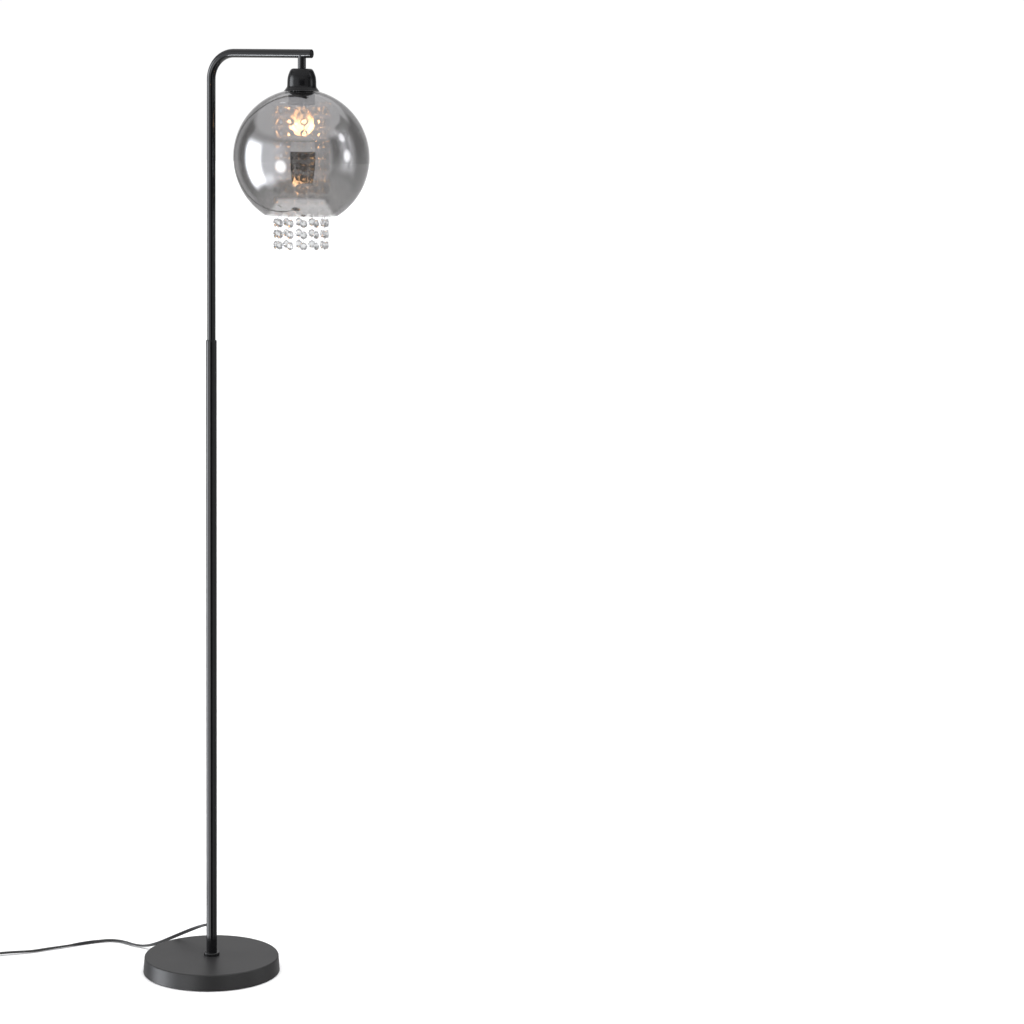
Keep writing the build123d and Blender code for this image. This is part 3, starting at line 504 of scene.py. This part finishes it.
def smoke(q, where, end):
    """Smoked glass with a half-mirror coat: part mirror, part tinted window."""
    facing = q.node("ShaderNodeLayerWeight")
    facing.inputs["Blend"].default_value = 0.5
    edge = facing.outputs["Facing"]
    mirror = q.node("ShaderNodeBsdfPrincipled")
    mirror.inputs["Metallic"].default_value = 1.0
    mirror.inputs["Base Color"].default_value = rgb(0.93, 0.93, 0.95)
    fine = q.noise(where, 26, 2.0, 0.5)
    q.put(mirror.inputs["Roughness"], q.span(fine, 0.3, 0.7, 0.012, 0.045))
    q.put(mirror.inputs["Normal"], q.bump(fine, 0.06, 0.0006))
    window = q.node("ShaderNodeBsdfTransparent")
    drift = q.span(q.noise(where, 18, 2.0, 0.5), 0.3, 0.7)
    tint = q.mix(drift, rgb(0.670, 0.665, 0.660), rgb(0.690, 0.685, 0.680))
    deep = q.math("POWER", edge, 6.0)
    q.put(window.inputs["Color"], q.mix(deep, tint, rgb(0.62, 0.615, 0.61)))
    both = q.node("ShaderNodeMixShader")
    q.put(both.inputs[0], q.span(q.math("POWER", edge, 4.0), 0.0, 1.0, 0.215, 0.36))
    q.put(both.inputs[1], window.outputs[0])
    q.put(both.inputs[2], mirror.outputs[0])
    q.put(end.inputs["Surface"], both.outputs[0])


def clear_bulb(q, where, end):
    facing = q.node("ShaderNodeLayerWeight")
    facing.inputs["Blend"].default_value = 0.35
    shine = q.node("ShaderNodeBsdfPrincipled")
    shine.inputs["Base Color"].default_value = rgb(0.9, 0.86, 0.8)
    shine.inputs["Metallic"].default_value = 1.0
    fine = q.noise(where, 90, 2.0, 0.5)
    q.put(shine.inputs["Roughness"], q.span(fine, 0.3, 0.7, 0.02, 0.08))
    split = q.node("ShaderNodeSeparateXYZ")
    q.put(split.inputs[0], where)
    rise = q.math("ABSOLUTE", q.math("SUBTRACT", split.outputs[2], 1.5185))
    glow = q.math("POWER", q.span(rise, 0.0, 0.023, 1.0, 0.0, True), 1.5)
    warm = q.node("ShaderNodeEmission")
    warm.inputs["Color"].default_value = rgb(1.0, 0.54, 0.23)
    # the filament's light as the cut glass spreads it is stronger than the envelope looks straight on
    ray = q.node("ShaderNodeLightPath")
    power = q.math("MULTIPLY_ADD", ray.outputs["Is Camera Ray"], -3.8, 4.8)
    power = q.math("MULTIPLY", power, q.span(facing.outputs["Facing"], 0.0, 1.0, 1.7, 0.4))
    q.put(warm.inputs["Strength"], q.math("MULTIPLY", glow, power))
    window = q.node("ShaderNodeBsdfTransparent")
    window.inputs["Color"].default_value = rgb(0.985, 0.975, 0.96)
    both = q.node("ShaderNodeMixShader")
    q.put(both.inputs[0], q.span(facing.outputs["Fresnel"], 0.0, 1.0, 0.02, 0.5))
    q.put(both.inputs[1], window.outputs[0])
    q.put(both.inputs[2], shine.outputs[0])
    total = q.node("ShaderNodeAddShader")
    q.put(total.inputs[0], both.outputs[0])
    q.put(total.inputs[1], warm.outputs[0])
    q.put(end.inputs["Surface"], total.outputs[0])


def cut_glass(q, where, end):
    p = q.node("ShaderNodeBsdfPrincipled")
    p.inputs["Transmission Weight"].default_value = 0.95
    p.inputs["IOR"].default_value = 1.6
    fine = q.noise(where, 160, 2.0, 0.5)
    q.put(p.inputs["Base Color"], q.mix(q.span(fine, 0.3, 0.7), rgb(0.53, 0.535, 0.54), rgb(0.70, 0.70, 0.70)))
    q.put(p.inputs["Roughness"], q.span(fine, 0.3, 0.7, 0.0, 0.02))
    q.put(p.inputs["Normal"], q.bump(fine, 0.08, 0.0004))
    q.put(end.inputs["Surface"], p.outputs[0])


def hot_wire(q, where, end):
    p = q.node("ShaderNodeBsdfPrincipled")
    fine = q.noise(where, 700, 2.0, 0.5)
    split = q.node("ShaderNodeSeparateXYZ")
    q.put(split.inputs[0], where)
    wire = q.span(split.outputs[2], 1.5238, 1.5252, 1.0, 0.0, True)
    q.put(p.inputs["Base Color"], q.mix(wire, rgb(0.62, 0.60, 0.57), rgb(0.9, 0.6, 0.35)))
    q.put(p.inputs["Roughness"], q.span(fine, 0.3, 0.7, 0.15, 0.3))
    p.inputs["Emission Color"].default_value = rgb(1.0, 0.64, 0.32)
    q.put(p.inputs["Emission Strength"], q.math("MULTIPLY", wire, q.span(fine, 0.3, 0.7, 55.0, 75.0)))
    q.put(end.inputs["Surface"], p.outputs[0])


smoke_glass = see_through("smoke_glass", smoke)
bulb_clear = see_through("bulb_clear", clear_bulb)
crystal = see_through("crystal", cut_glass)
filament = see_through("filament", hot_wire)

finish_of = {
    "tube_paint": tube_paint, "cup_paint": cup_paint, "base_powder": base_powder, "collar_gloss": collar_gloss,
    "iron": iron, "foam": foam, "zinc_steel": zinc_steel, "chrome_trim": chrome_trim,
    "holder_plastic": holder_plastic, "holder_brass": holder_brass, "smoke_glass": smoke_glass,
    "crystal": crystal, "bulb_clear": bulb_clear, "cap_aluminium": cap_aluminium, "filament": filament,
    "lead_pvc": lead_pvc, "switch_plastic": switch_plastic, "plug_plastic": plug_plastic, "tie_band": tie_band,
}
for row in frame["record"]["subparts"]:
    obj = nodes[row["node"]]
    obj.data.materials.clear()
    obj.data.materials.append(finish_of[row["material_slot"]])
lead.data.materials.append(lead_pvc)

floor_paint = surface("floor_paint", rgb(0.90, 0.90, 0.90), rgb(0.915, 0.915, 0.915), 2, 0.75, 0.85, 60, 0.02, 0.0002)
floor_paint.node_tree.nodes["Principled BSDF"].inputs["Specular IOR Level"].default_value = 0.0
floor.data.materials.append(floor_paint)
